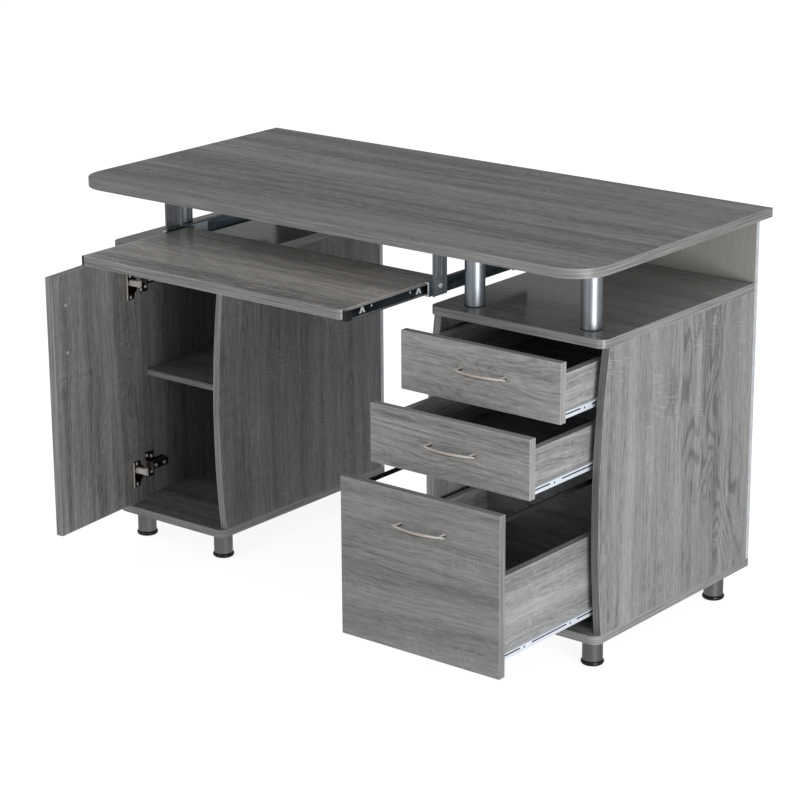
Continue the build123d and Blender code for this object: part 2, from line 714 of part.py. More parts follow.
with BuildPart() as tray_outer_rails:
    for edge_x, outward in SLIDE_SIDES:
        reach = (TRAY_RAIL_WIDTH - OUTER_RAIL_DEPTH, TRAY_RAIL_WIDTH)
        with BuildSketch(section_plane(edge_x, OUTER_RAIL_FRONT, 0, outward)):
            strips(
                ((TRAY_RAIL_WIDTH - SHEET, TRAY_RAIL_WIDTH), TRAY_RAIL_Z),
                (reach, (TRAY_RAIL_Z[0], TRAY_RAIL_Z[0] + SHEET)),
                (reach, (TRAY_RAIL_Z[1] - SHEET, TRAY_RAIL_Z[1])),
            )
        extrude_back(outward, TRAY_RAIL_LENGTH)
save(tray_outer_rails, "tray_outer_rails")

BALL_ROWS = (
    (TRAY_RAIL_Z[0] + SHEET + INNER_RAIL_Z[0]) / 2,
    (TRAY_RAIL_Z[1] - SHEET + INNER_RAIL_Z[1]) / 2,
)
BALL_COUNT = int(span(CAGE_Y) / CAGE_PITCH)
CAGE_FACE = INNER_RAIL_DEPTH + 1
CAGE_U = (CAGE_FACE, CAGE_FACE + CAGE_WEB)
LIP_U = (CAGE_FACE - CAGE_REACH, CAGE_U[1])

with BuildPart() as tray_ball_cages:
    for edge_x, outward in SLIDE_SIDES:
        with BuildSketch(section_plane(edge_x, CAGE_Y[0], 0, outward)):
            strips((CAGE_U, BALL_ROWS))
            for row in BALL_ROWS:
                strips((LIP_U, (row - CAGE_WEB / 2, row + CAGE_WEB / 2)))
        extrude_back(outward, span(CAGE_Y))
        for ball in range(BALL_COUNT):
            ball_y = CAGE_Y[0] + CAGE_PITCH * (ball + 0.5)
            with Locations(*[(edge_x + outward * (CAGE_FACE - 2), ball_y, row) for row in BALL_ROWS]):
                Sphere(BALL_RADIUS)
save(tray_ball_cages, "tray_ball_cages")

BUMPER_Z = (INNER_RAIL_Z[0] + SHEET, INNER_RAIL_Z[1] - SHEET)
with BuildPart() as tray_bumpers:
    for edge_x, outward in SLIDE_SIDES:
        with BuildSketch(section_plane(edge_x, TRAY_RAIL_FRONT, 0, outward)):
            strips(((SHEET, INNER_RAIL_DEPTH + 1), BUMPER_Z))
        extrude_back(outward, BUMPER_LENGTH)
        with BuildSketch(section_plane(edge_x, TRAY_RAIL_FRONT - SHEET, 0, outward)):
            strips(((0, INNER_RAIL_DEPTH + 1), INNER_RAIL_Z))
        extrude_back(outward, SHEET)
save(tray_bumpers, "tray_bumpers")

with BuildPart() as tray_brackets:
    for face_x, outward in zip(BRACKET_FACE_X, (-1, 1)):
        for bracket_y in BRACKET_Y:
            web = (BRACKET_BOTTOM, DESK_UNDER)
            with BuildSketch(section_plane(face_x, bracket_y, 0, outward)):
                strips(
                    ((0, BRACKET_SHEET), web),
                    ((0, BRACKET_FLANGE + BRACKET_SHEET), (DESK_UNDER - BRACKET_SHEET, DESK_UNDER)),
                )
            extrude_back(outward, BRACKET_WIDTH)
            for lip_y in (bracket_y, bracket_y + BRACKET_WIDTH - BRACKET_SHEET):
                with BuildSketch(section_plane(face_x, lip_y, 0, outward)):
                    strips(((0, BRACKET_LIP), web))
                extrude_back(outward, BRACKET_SHEET)
    for screw_x, screw_y in BRACKET_SCREWS:
        rod(screw_x, screw_y, DESK_UNDER - BRACKET_SHEET, SCREW_RADIUS, BRACKET_SHEET, Mode.SUBTRACT)
save(tray_brackets, "tray_brackets")

with BuildPart() as bracket_screws:
    for screw_x, screw_y in BRACKET_SCREWS:
        rod(screw_x, screw_y, DESK_UNDER - BRACKET_SHEET, SCREW_RADIUS, BRACKET_SHEET + STUD_BITE)
        rod(
            screw_x, screw_y, DESK_UNDER - BRACKET_SHEET - SCREW_HEAD_HEIGHT, SCREW_HEAD,
            SCREW_HEAD_HEIGHT,
        )
    for face_x, outward in zip(BRACKET_FACE_X, (-1, 1)):
        for bracket_y in BRACKET_Y:
            head_u = (BRACKET_SHEET, BRACKET_SHEET + SCREW_HEAD_HEIGHT)
            head = sorted(face_x + outward * u for u in head_u)
            cross_rod(head, bracket_y + BRACKET_WIDTH / 2, BRACKET_SCREW_Z, SCREW_HEAD)
save(bracket_screws, "bracket_screws")
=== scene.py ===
import json
import math

import bmesh
import bpy
from mathutils import Matrix, Vector


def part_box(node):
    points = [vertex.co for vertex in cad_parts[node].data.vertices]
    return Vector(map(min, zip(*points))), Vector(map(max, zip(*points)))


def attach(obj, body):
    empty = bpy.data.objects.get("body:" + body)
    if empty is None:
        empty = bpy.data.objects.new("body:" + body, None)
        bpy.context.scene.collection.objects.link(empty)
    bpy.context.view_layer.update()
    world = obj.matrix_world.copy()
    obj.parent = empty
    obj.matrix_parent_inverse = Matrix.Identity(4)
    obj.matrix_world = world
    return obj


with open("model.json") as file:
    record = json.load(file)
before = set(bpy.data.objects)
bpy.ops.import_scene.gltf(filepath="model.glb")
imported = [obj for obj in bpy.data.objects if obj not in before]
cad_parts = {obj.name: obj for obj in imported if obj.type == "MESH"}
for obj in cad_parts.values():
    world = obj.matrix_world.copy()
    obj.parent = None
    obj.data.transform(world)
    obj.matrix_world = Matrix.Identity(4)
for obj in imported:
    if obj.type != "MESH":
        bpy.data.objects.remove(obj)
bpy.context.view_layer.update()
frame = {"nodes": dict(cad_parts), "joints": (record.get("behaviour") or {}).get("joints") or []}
NODES = frame["nodes"]
SCENE = bpy.context.scene


# ---------------------------------------------------------------- shader helpers
class Shader:
    """A node material being wired up, one small helper per kind of node."""

    def __init__(self, name):
        self.material = bpy.data.materials.new(name)
        self.material.use_nodes = True
        self.tree = self.material.node_tree
        self.tree.nodes.clear()
        self.out = self.tree.nodes.new("ShaderNodeOutputMaterial")
        self.bsdf = self.tree.nodes.new("ShaderNodeBsdfPrincipled")
        self.tree.links.new(self.bsdf.outputs[0], self.out.inputs[0])

    def link(self, source, socket):
        if isinstance(source, (int, float, tuple, list)):
            socket.default_value = source
        else:
            self.tree.links.new(source, socket)

    def object_coords(self, turn=0.0, shift=(0, 0, 0)):
        """Object coordinates in metres, moved and then turned about Z."""
        coord = self.tree.nodes.new("ShaderNodeTexCoord")
        moved = self.tree.nodes.new("ShaderNodeVectorMath")
        moved.operation = "ADD"
        self.link(coord.outputs["Object"], moved.inputs[0])
        moved.inputs[1].default_value = shift
        spun = self.tree.nodes.new("ShaderNodeVectorRotate")
        spun.rotation_type = "Z_AXIS"
        self.link(moved.outputs[0], spun.inputs["Vector"])
        spun.inputs["Angle"].default_value = turn
        return spun.outputs[0]

    def object_normal(self, turn=0.0):
        coord = self.tree.nodes.new("ShaderNodeTexCoord")
        spun = self.tree.nodes.new("ShaderNodeVectorRotate")
        spun.rotation_type = "Z_AXIS"
        self.link(coord.outputs["Normal"], spun.inputs["Vector"])
        spun.inputs["Angle"].default_value = turn
        return spun.outputs[0]

    def split(self, vector):
        node = self.tree.nodes.new("ShaderNodeSeparateXYZ")
        self.link(vector, node.inputs[0])
        return node.outputs

    def join(self, x, y, z):
        node = self.tree.nodes.new("ShaderNodeCombineXYZ")
        for value, socket in zip((x, y, z), node.inputs):
            self.link(value, socket)
        return node.outputs[0]

    def scaled(self, vector, scale):
        node = self.tree.nodes.new("ShaderNodeVectorMath")
        node.operation = "MULTIPLY"
        self.link(vector, node.inputs[0])
        node.inputs[1].default_value = scale
        return node.outputs[0]

    def math(self, operation, a, b=0.0, clamp=False):
        node = self.tree.nodes.new("ShaderNodeMath")
        node.operation = operation
        node.use_clamp = clamp
        self.link(a, node.inputs[0])
        self.link(b, node.inputs[1])
        return node.outputs[0]

    def noise(self, vector, scale, detail=2.0, roughness=0.5, distortion=0.0):
        node = self.tree.nodes.new("ShaderNodeTexNoise")
        self.link(vector, node.inputs["Vector"])
        node.inputs["Scale"].default_value = scale
        node.inputs["Detail"].default_value = detail
        node.inputs["Roughness"].default_value = roughness
        node.inputs["Distortion"].default_value = distortion
        return node.outputs["Fac"]

    def swing(self, value, amount):
        """How far the value is from the noise's middle, times amount."""
        return self.math("MULTIPLY", self.math("SUBTRACT", value, 0.5), amount)

    def remap(self, value, low, high, to_low=0.0, to_high=1.0):
        node = self.tree.nodes.new("ShaderNodeMapRange")
        node.interpolation_type = "SMOOTHSTEP"
        self.link(value, node.inputs["Value"])
        sockets = ("From Min", "From Max", "To Min", "To Max")
        for socket, number in zip(sockets, (low, high, to_low, to_high)):
            node.inputs[socket].default_value = number
        return node.outputs[0]

    def mix(self, factor, a, b):
        node = self.tree.nodes.new("ShaderNodeMix")
        node.data_type = "RGBA"
        self.link(factor, node.inputs["Factor"])
        self.link(a, node.inputs["A"])
        self.link(b, node.inputs["B"])
        return node.outputs["Result"]

    def bump(self, height, strength, distance):
        node = self.tree.nodes.new("ShaderNodeBump")
        self.link(height, node.inputs["Height"])
        node.inputs["Strength"].default_value = strength
        node.inputs["Distance"].default_value = distance
        return node.outputs[0]

    def worn(self, radius):
        """0 on flat faces, rising on tight convex edges."""
        bevel = self.tree.nodes.new("ShaderNodeBevel")
        bevel.samples = 4
        bevel.inputs["Radius"].default_value = radius
        geometry = self.tree.nodes.new("ShaderNodeNewGeometry")
        dot = self.tree.nodes.new("ShaderNodeVectorMath")
        dot.operation = "DOT_PRODUCT"
        self.link(bevel.outputs[0], dot.inputs[0])
        self.link(geometry.outputs["True Normal"], dot.inputs[1])
        return self.remap(dot.outputs["Value"], 0.999, 0.93, 0.0, 1.0)


def rgb(r, g, b):
    """sRGB 0-255 to the linear colour a socket wants."""
    def linear(c):
        c /= 255
        return c / 12.92 if c <= 0.04045 else ((c + 0.055) / 1.055) ** 2.4
    return (linear(r), linear(g), linear(b), 1.0)


def shade(colour, factor):
    """The colour made darker or lighter, with its alpha kept at 1."""
    return [c * factor for c in colour[:3]] + [1]


# ---------------------------------------------------------------- laminate
def printed_grain(s, u, v, depth, contrast, figure, saw, pitch):
    """How pale the print is, 0 to 1, with its streaks, hairlines and saw strokes for the relief."""
    face = s.join(u, v, depth)

    # slow wander of the grain, so that the streaks are not ruled lines
    wander = s.noise(s.scaled(face, (1.9, 6.0, 1.0)), 1.0, 3.0, 0.55)
    ripple = s.noise(s.scaled(face, (26.0, 20.0, 1.0)), 1.0, 2.0, 0.5)
    bend = s.math("ADD", s.swing(wander, 0.050), s.swing(ripple, 0.0026))
    flow = s.join(u, s.math("ADD", v, bend), depth)

    # staves: broad bands with fairly sharp sides, then streaks, hairlines and pores
    broad = s.remap(s.noise(s.scaled(flow, (0.55, 11.0, 2.0)), 1.0, 1.0, 0.4), 0.42, 0.58)
    stave = s.remap(s.noise(s.scaled(flow, (0.8, 34.0, 5.0)), 1.0, 1.0, 0.5), 0.40, 0.60)
    streak = s.noise(s.scaled(flow, (1.7, 105.0 * pitch, 18.0)), 1.0, 6.0, 0.74)
    fine = s.noise(s.scaled(flow, (8.0, 250.0 * pitch, 60.0)), 1.0, 3.0, 0.65)
    grit = s.noise(s.scaled(flow, (44.0, 330.0 * pitch, 60.0)), 1.0, 2.0, 0.6)
    pores = s.noise(s.scaled(flow, (42.0, 620.0, 60.0)), 1.0, 2.0, 0.6)

    # cathedral arches and knots: contour lines of a slow field stretched along the grain
    field = s.noise(s.scaled(flow, (1.5, 7.5, 1.0)), 1.0, 2.2, 0.5, 0.35)
    rings = s.math("SINE", s.math("MULTIPLY", field, 170.0))
    patch = s.noise(s.scaled(face, (1.7, 5.0, 1.0)), 1.0, 2.0, 0.5)
    in_patch = s.remap(patch, 0.50, 0.62)
    arch = s.math("MULTIPLY", s.remap(rings, 0.0, 1.0), in_patch)

    # saw marks: short slanted strokes across the grain, in patches
    lean = s.join(s.math("ADD", u, s.math("MULTIPLY", v, 0.28)), v, depth)
    strokes = s.noise(s.scaled(lean, (390.0, 32.0, 20.0)), 1.0, 2.0, 0.6, 0.3)
    saw_patch = s.noise(s.scaled(face, (9.0, 14.0, 1.0)), 1.0, 2.0, 0.5)
    strokes = s.math("MULTIPLY", s.remap(strokes, 0.50, 0.68), s.remap(saw_patch, 0.53, 0.66))

    level = s.math("ADD", s.swing(broad, 0.20), s.swing(stave, 0.20))
    for value, amount in ((streak, 0.75), (fine, 1.15), (grit, 0.90)):
        level = s.math("ADD", level, s.swing(value, amount))
    level = s.math("SUBTRACT", level, s.math("MULTIPLY", arch, 0.24 * figure))
    level = s.math("SUBTRACT", level, s.math("MULTIPLY", s.remap(pores, 0.58, 0.72), 0.22))
    level = s.math("ADD", level, s.math("MULTIPLY", strokes, 0.36 * saw))
    level = s.math("ADD", s.math("MULTIPLY", level, contrast), 0.55, clamp=True)
    return level, streak, fine, strokes


def laminate(name, grain, thin, tone=1.0, turn=0.0, seed=0.0, contrast=1.0, figure=1.0, edge=1.12,
             roughness=0.42, warm=0.004, saw=1.0, pitch=1.0):
    """Grey oak-pattern laminate.

    grain and thin are the axes (0, 1, 2) along the printed grain and through the board. edge is how
    light the edge band is, figure and saw how strong the arches and the saw marks are, and warm how
    far the grey leans to red. A higher pitch packs more streaks into a width.
    """
    s = Shader(name)
    across = 3 - grain - thin
    where = s.object_coords(turn, (seed * 1.37, seed * 0.71, seed * 2.13))
    moved = s.split(where)
    u, v, w = moved[grain], moved[across], moved[thin]
    depth = s.math("MULTIPLY", w, 0.15)
    level, streak, fine, strokes = printed_grain(s, u, v, depth, contrast, figure, saw, pitch)
    dark = shade(rgb(104 * (1 + warm), 104, 104 * (1 - warm)), tone)
    light = shade(rgb(178 * (1 + warm), 178, 178 * (1 - warm)), tone)
    colour = s.mix(level, dark, light)

    # the edge band is a plain grey, streaked along its length
    normals = s.split(s.object_normal(turn))
    on_edge = s.remap(s.math("ABSOLUTE", normals[thin]), 0.80, 0.55)
    band_noise = s.noise(s.scaled(s.join(u, v, w), (7.0, 7.0, 620.0)), 1.0, 3.0, 0.6)
    band_dark = shade(rgb(122, 121, 120), tone * edge)
    band_light = shade(rgb(172, 171, 170), tone * edge)
    band = s.mix(s.remap(band_noise, 0.32, 0.68), band_dark, band_light)
    colour = s.mix(on_edge, colour, band)

    # arrises are paler, partly wear and partly a painted highlight along the arris, and handled ones more so
    handled = s.remap(s.noise(where, 60.0, 3.0), 0.30, 0.70, 0.45, 1.0)
    arris_wear_and_highlight = s.math("MULTIPLY", s.worn(0.0018), handled)
    pale = shade(rgb(206, 204, 202), tone * 1.15)
    colour = s.mix(s.math("MULTIPLY", arris_wear_and_highlight, 0.75), colour, pale)
    s.link(colour, s.bsdf.inputs["Base Color"])

    rough = s.math("ADD", roughness, s.swing(fine, 0.18))
    smudge = s.noise(where, 7.0, 3.0, 0.6)
    s.link(s.math("ADD", rough, s.swing(smudge, 0.10)), s.bsdf.inputs["Roughness"])
    height = s.math("ADD", s.math("MULTIPLY", streak, 0.5), s.math("MULTIPLY", fine, 0.5))
    height = s.math("ADD", height, s.math("MULTIPLY", strokes, 0.4))
    s.link(s.bump(height, 0.25, 0.0004), s.bsdf.inputs["Normal"])
    s.bsdf.inputs["Specular IOR Level"].default_value = 0.45
    return s.material


# ---------------------------------------------------------------- metals, plastics and paint
def metal(name, colour, roughness, brush_axis=None, scratch=0.12, seed=0.0, metallic=1.0):
    """Bare or plated metal, clouded, with hairlines that run along brush_axis if one is given."""
    s = Shader(name)
    where = s.object_coords(0.0, (seed, seed * 0.7, seed * 1.9))
    s.bsdf.inputs["Metallic"].default_value = metallic
    cloud = s.noise(where, 14.0, 4.0, 0.6)
    scale = [420.0, 420.0, 420.0]
    if brush_axis is not None:
        scale[brush_axis] = 9.0
    hair = s.noise(s.scaled(where, scale), 1.0, 3.0, 0.65)
    darker = shade(colour, 0.85)
    tone = s.mix(s.remap(cloud, 0.35, 0.7), colour, darker)
    tone = s.mix(s.math("MULTIPLY", s.remap(hair, 0.5, 0.8), 0.35), tone, shade(colour, 0.72))
    worn = [min(1, c * 1.18) for c in colour[:3]] + [1]
    s.link(s.mix(s.math("MULTIPLY", s.worn(0.0006), 0.5), tone, worn), s.bsdf.inputs["Base Color"])
    rough = s.math("ADD", roughness, s.swing(hair, scratch))
    s.link(s.math("ADD", rough, s.swing(cloud, 0.08)), s.bsdf.inputs["Roughness"])
    s.link(s.bump(hair, 0.12, 0.0001), s.bsdf.inputs["Normal"])
    return s.material


def coated(name, colour, roughness, variation=0.10, seed=0.0, dirt=0.15):
    """Paint, enamel or moulded plastic with an orange-peel surface and specks of dirt."""
    s = Shader(name)
    where = s.object_coords(0.0, (seed, seed * 0.6, seed * 1.7))
    cloud = s.noise(where, 22.0, 4.0, 0.6)
    peel = s.noise(where, 900.0, 2.0, 0.5)
    specks = s.remap(s.noise(where, 260.0, 3.0, 0.7), 0.62, 0.78)
    low = shade(colour, 1 - variation)
    high = [min(1, c * (1 + variation * 0.6)) for c in colour[:3]] + [1]
    tone = s.mix(s.remap(cloud, 0.3, 0.7), low, high)
    tone = s.mix(s.math("MULTIPLY", specks, dirt), tone, shade(colour, 0.55))
    worn = [min(1, c * 1.15 + 0.02) for c in colour[:3]] + [1]
    s.link(s.mix(s.math("MULTIPLY", s.worn(0.0006), 0.4), tone, worn), s.bsdf.inputs["Base Color"])
    s.link(s.math("ADD", roughness, s.swing(cloud, 0.14)), s.bsdf.inputs["Roughness"])
    s.link(s.bump(peel, 0.10, 0.0001), s.bsdf.inputs["Normal"])
    s.bsdf.inputs["Specular IOR Level"].default_value = 0.5
    return s.material


def back_board(name, low, high):
    """Thin back board: printed grey inside, raw mid grey behind, pale banding on its upright edges."""
    s = Shader(name)
    where = s.object_coords()
    normal = s.split(s.object_normal())
    fibre = s.noise(s.scaled(where, (260.0, 260.0, 14.0)), 1.0, 4.0, 0.7)
    cloud = s.noise(where, 5.0, 3.0, 0.6)
    printed = s.mix(s.remap(fibre, 0.3, 0.7), low, high)
    raw = s.mix(s.remap(fibre, 0.3, 0.7), rgb(122, 121, 117), rgb(140, 139, 134))
    tone = s.mix(s.remap(normal[1], 0.3, 0.6), printed, raw)
    tone = s.mix(s.math("MULTIPLY", s.remap(cloud, 0.4, 0.7), 0.25), tone, shade(low, 0.88))
    end = s.remap(s.math("ABSOLUTE", normal[0]), 0.55, 0.8)
    band = s.mix(s.remap(s.noise(where, 60.0, 3.0), 0.35, 0.7), rgb(206, 212, 218), rgb(224, 229, 233))
    s.link(s.mix(end, tone, band), s.bsdf.inputs["Base Color"])
    s.link(s.remap(fibre, 0.3, 0.7, 0.5, 0.62), s.bsdf.inputs["Roughness"])
    s.link(s.bump(fibre, 0.15, 0.0002), s.bsdf.inputs["Normal"])
    return s.material


def slide_steel(name, web, lip, roughness, seed=0.0):
    """Rolled steel whose upright web is dark-lacquered and whose folded lips are bright zinc."""
    s = Shader(name)
    where = s.object_coords(0.0, (seed, seed * 0.7, seed * 1.9))
    normal = s.split(s.object_normal())
    s.bsdf.inputs["Metallic"].default_value = 0.85
    hair = s.noise(s.scaled(where, (420.0, 9.0, 420.0)), 1.0, 3.0, 0.65)
    cloud = s.noise(s.scaled(where, (30.0, 12.0, 90.0)), 1.0, 4.0, 0.6)
    web_tone = s.mix(s.remap(cloud, 0.35, 0.7), web, shade(web, 2.4))
    lip_tone = s.mix(s.remap(cloud, 0.35, 0.7), lip, shade(lip, 0.75))
    folded = s.remap(s.math("ABSOLUTE", normal[2]), 0.4, 0.7)
    end_face = s.remap(s.math("ABSOLUTE", normal[1]), 0.4, 0.7)
    bright = s.math("MAXIMUM", folded, end_face)
    tone = s.mix(bright, web_tone, lip_tone)
    tone = s.mix(s.math("MULTIPLY", s.remap(hair, 0.5, 0.8), 0.30), tone, shade(lip, 0.5))
    s.link(tone, s.bsdf.inputs["Base Color"])
    s.link(s.math("ADD", roughness, s.swing(hair, 0.14)), s.bsdf.inputs["Roughness"])
    s.link(s.bump(hair, 0.12, 0.0001), s.bsdf.inputs["Normal"])
    return s.material


def bow_nickel(name, box, seed):
    """Polished nickel, with a painted highlight on the bow's face and tips and painted shade and dark
    reflection on its feet and lower edge.
    """
    low, high = box
    s = Shader(name)
    place = s.split(s.object_coords())
    normal = s.split(s.object_normal())
    where = s.object_coords(0.0, (seed, seed * 0.7, seed * 1.9))
    hair = s.noise(s.scaled(where, (14.0, 260.0, 260.0)), 1.0, 2.0, 0.5)
    # painted highlight: faces turned to the front or up are drawn bright
    facing = s.math("MAXIMUM", s.math("MULTIPLY", normal[1], -1.0), s.math("MULTIPLY", normal[2], 0.6))
    middle_z = (low.z + high.z) / 2
    # painted shade along the bow's lower edge
    painted_underside_shade = s.remap(place[2], middle_z - 0.0004, middle_z - 0.0020)
    above = s.math("SUBTRACT", 1.0, s.math("MULTIPLY", painted_underside_shade, 0.9))
    bright = s.math("MULTIPLY", s.remap(facing, 0.05, 0.45), above)
    # painted glints: the nickel is paler towards the tips
    from_middle = s.math("ABSOLUTE", s.math("SUBTRACT", place[0], (low.x + high.x) / 2))
    nickel_and_painted_glint = s.mix(s.remap(from_middle, 0.014, 0.044), rgb(226, 211, 199), rgb(254, 250, 246))
    nickel_and_painted_glint = s.mix(s.math("MULTIPLY", hair, 0.25), nickel_and_painted_glint, rgb(168, 154, 144))
    # the dark brown is painted shade and dark reflection on the feet, sides and lower edge
    s.link(s.mix(bright, rgb(52, 42, 37), nickel_and_painted_glint), s.bsdf.inputs["Base Color"])
    s.link(s.math("ADD", 0.20, s.swing(hair, 0.10)), s.bsdf.inputs["Roughness"])
    s.bsdf.inputs["Metallic"].default_value = 0.5
    s.link(s.bump(hair, 0.06, 0.0001), s.bsdf.inputs["Normal"])
    return s.material


def paint(node, material):
    """Give a CAD node its one material."""
    slots = NODES[node].data.materials
    slots.clear()
    slots.append(material)


DOOR_TURN = math.radians(84.0)  # the door stands open by this much
paint("desktop", laminate(
    "laminate_desktop", 0, 2, tone=0.85, seed=1.0, contrast=1.6, figure=0.5, saw=0.6, roughness=0.40,
    warm=0.026, pitch=0.72))
# the left pedestal's top and bottom get lower tones than the right's: painted shade
LEVEL_TONES_WITH_PAINTED_SHADE = {
    "left_top_panel": 0.74, "right_top_panel": 0.98, "left_bottom_panel": 0.88, "right_bottom_panel": 0.98,
}
for number, (node, tone) in enumerate(LEVEL_TONES_WITH_PAINTED_SHADE.items()):
    paint(node, laminate(
        f"laminate_{node}", 0, 2, tone=tone, seed=2.0 + number, roughness=0.18, figure=0.5, pitch=0.62))
paint("left_shelf", laminate("laminate_shelf", 0, 2, tone=0.90, seed=7.0, figure=0.5))
# tone, edge and figure of each upright side; the left sides' low tones are painted shade, and their high
# edge values are painted light on their edge bands
SIDE_TONES_WITH_PAINTED_LIGHT = {
    "left_inner_side": (0.68, 1.6, 0.6), "left_outer_side": (0.70, 1.5, 0.6),
    "right_inner_side": (0.95, 1.3, 0.6), "right_outer_side": (1.02, 0.62, 1.4),
}
for number, (node, (tone, edge, figure)) in enumerate(SIDE_TONES_WITH_PAINTED_LIGHT.items()):
    paint(node, laminate(
        f"laminate_{node}", 2, 0, tone=tone, seed=11.0 + number, contrast=1.1, figure=figure, edge=edge))
# tones of each drawer's front and sides; drawer 3's darker front is painted shade, and the sides' high tones
# are painted light against the shade on them, partly a lighter laminate
DRAWER_TONES_AND_PAINTED_LIGHT = {1: (1.11, 1.42), 2: (1.16, 1.18), 3: (0.82, 1.14)}
for number, (front_tone_and_painted_shade, side_tone_and_painted_light) in DRAWER_TONES_AND_PAINTED_LIGHT.items():
    paint(f"drawer_{number}_front", laminate(
        f"laminate_front_{number}", 0, 1, tone=front_tone_and_painted_shade, seed=20.0 + number, figure=0.7,
        saw=0.8, warm=0.010))
    paint(f"drawer_{number}_sides", laminate(
        f"laminate_sides_{number}", 1, 0, tone=side_tone_and_painted_light, seed=30.0 + number, figure=0.6))
    # backs and bottoms lean blue (warm below 0): a painted cool shade inside the drawers
    paint(f"drawer_{number}_back", laminate(
        f"laminate_back_{number}", 0, 1, tone=0.88, seed=34.0 + number, warm=-0.03))
    paint(f"drawer_{number}_bottom", laminate(
        f"laminate_bottom_{number}", 0, 2, tone=0.88, seed=38.0 + number, warm=-0.03))
paint("door_panel", laminate(
    "laminate_door", 2, 1, tone=0.96, turn=DOOR_TURN, seed=41.0, figure=0.5, warm=0.016, contrast=1.2))
# tone 1.57 brightens the tray: painted light and reflection of the pale surroundings on its glossy top, with
# edge 0.62 keeping its edge band darker
paint("keyboard_tray", laminate(
    "laminate_tray", 0, 2, tone=1.57, seed=44.0, contrast=1.15, figure=0.6, roughness=0.17, edge=0.62,
    warm=0.024, pitch=0.72))
# the left board is printed much darker than the right: painted shade
paint("right_back_panel", back_board("back_board_right", rgb(168, 167, 161), rgb(180, 179, 173)))
paint("left_back_panel", back_board("back_board_left", rgb(80, 79, 77), rgb(106, 104, 101)))

paint("support_posts", metal("post_metal", rgb(173, 180, 186), 0.40, brush_axis=2, scratch=0.10))
paint("foot_tubes", metal("foot_metal", rgb(146, 145, 144), 0.36, brush_axis=2, scratch=0.12))
for number in (1, 2, 3):
    node = f"drawer_{number}_handle"
    paint(node, bow_nickel(f"handle_nickel_{number}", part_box(node), 3.0 + number))
paint("door_handle", metal(
    "door_handle_nickel", rgb(240, 232, 222), 0.26, brush_axis=2, scratch=0.06, seed=4.0, metallic=0.6))
WHITE_ENAMEL = coated("white_enamel", rgb(236, 243, 250), 0.30, variation=0.06, seed=5.0, dirt=0.06)
for node in ("cabinet_rails", "drawer_1_rails", "drawer_2_rails", "drawer_3_rails"):
    paint(node, WHITE_ENAMEL)
NYLON = coated("nylon", rgb(226, 226, 220), 0.45, seed=6.0)
for number in (1, 2, 3):
    for side in ("front", "rear"):
        paint(f"drawer_{number}_{side}_rollers", NYLON)
paint("file_rail_clips", NYLON)
paint("cover_caps", coated("grey_caps", rgb(120, 120, 120), 0.45, seed=6.5))
paint("tray_inner_rails", slide_steel("slide_moving", rgb(50, 56, 61), rgb(206, 214, 218), 0.24, seed=7.0))
paint("tray_outer_rails", slide_steel("slide_fixed", rgb(72, 84, 91), rgb(96, 106, 112), 0.28, seed=7.2))
paint("tray_ball_cages", metal("cage_steel", rgb(176, 184, 190), 0.26, brush_axis=1, seed=7.5))
BRACKET_STEEL = metal(
    "bracket_steel", rgb(146, 149, 154), 0.34, brush_axis=2, scratch=0.16, seed=8.0, metallic=0.8)
paint("tray_brackets", BRACKET_STEEL)
HINGE_STEEL = metal("hinge_steel", rgb(252, 247, 238), 0.30, scratch=0.10, seed=9.0, metallic=0.12)
paint("hinge_links", HINGE_STEEL)
HINGE_DARK = metal("hinge_dark", rgb(112, 92, 80), 0.30, scratch=0.14, seed=9.5)
for node in ("hinge_cups", "hinge_base_plates"):
    paint(node, HINGE_DARK)
# the arms' brownish grey is a painted reflection of the wood in their chrome
paint("hinge_arms", metal("hinge_arm_dark", rgb(104, 94, 86), 0.32, scratch=0.14, seed=9.7))
SCREW_STEEL = metal("screw_steel", rgb(246, 249, 252), 0.26, scratch=0.08, seed=10.0, metallic=0.3)
for node in ("bracket_screws", "post_screws", "door_handle_screws", "hinge_screws", "shelf_pins"):
    paint(node, SCREW_STEEL)
paint("foot_glides", coated("black_glide", rgb(20, 20, 21), 0.24, variation=0.2, seed=12.0))
paint("tray_bumpers", coated("black_bumper", rgb(24, 25, 26), 0.42, variation=0.2, seed=13.0))
paint("file_rails", coated("black_rail", rgb(16, 16, 17), 0.40, variation=0.2, seed=14.0))


# ---------------------------------------------------------------- added detail pieces
def plate(bm, outline, origin, across, up, thick):
    """A thin solid of a closed 2-D outline lying on origin, raised along across x up."""
    across, up, origin = Vector(across), Vector(up), Vector(origin)
    raised = across.cross(up) * thick
    low = [bm.verts.new(origin + across * a + up * b) for a, b in outline]
    high = [bm.verts.new(vert.co + raised) for vert in low]
    bm.faces.new(list(reversed(low)))
    bm.faces.new(high)
    for i, j in zip(range(len(low)), [*range(1, len(low)), 0]):
        bm.faces.new((low[i], low[j], high[j], high[i]))


def disc(radius, a=0.0, b=0.0, count=20):
    turns = [2 * math.pi * i / count for i in range(count)]
    return [(a + radius * math.cos(t), b + radius * math.sin(t)) for t in turns]


def stadium(a, b, length, half_height, count=8):
    """A slot's outline, from a to a + length one way and centred on b the other."""
    ends = []
    for centre, start in ((a + length - half_height, -math.pi / 2), (a + half_height, math.pi / 2)):
        for i in range(count + 1):
            t = start + math.pi * i / count
            ends.append((centre + half_height * math.cos(t), b + half_height * math.sin(t)))
    return ends


